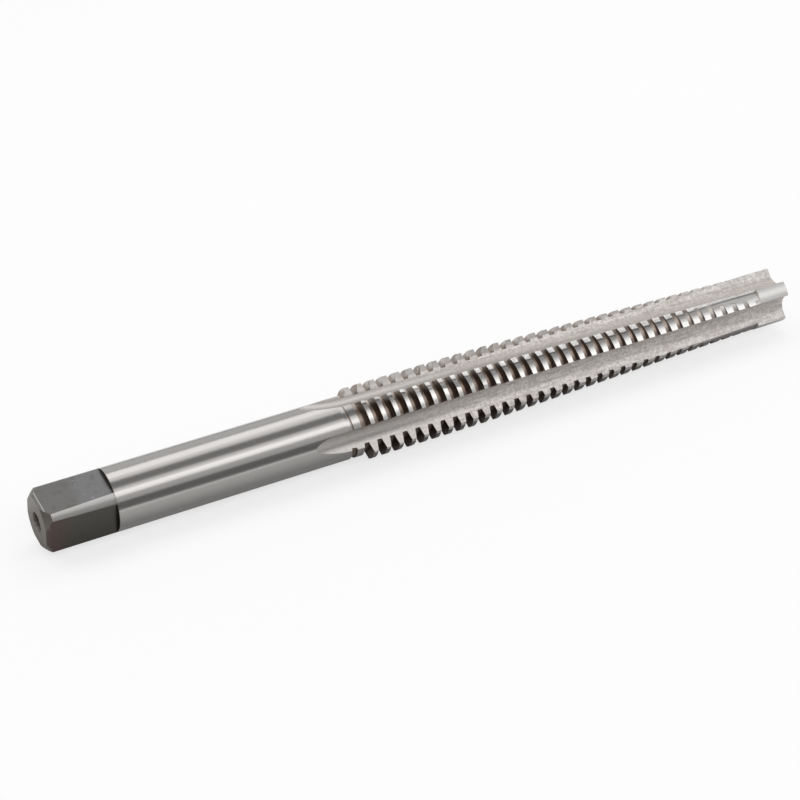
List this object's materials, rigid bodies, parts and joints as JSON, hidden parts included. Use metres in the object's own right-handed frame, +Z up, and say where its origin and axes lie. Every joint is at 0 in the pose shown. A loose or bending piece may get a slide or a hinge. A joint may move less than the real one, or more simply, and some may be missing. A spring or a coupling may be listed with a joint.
{
  "type": "acme thread tap",
  "caption": "Long hand tap for cutting acme threads, with straight flutes, a tapered threaded lead, a plain pilot and a square drive end.",
  "frame": {"origin": "middle of the underside of the part's bounding box, as it lies on a bench with one flute straight down", "axes": "+X along the tap from the square end to the tip, +Z up"},
  "size_m": [0.15, 0.0122, 0.0121],
  "materials": {
    "tool_steel": "ground bright on shank, crests and pilot, dull grey in the flutes"
  },
  "bodies": {
    "root": {"tap": "tool_steel"}
  },
  "joints": []
}
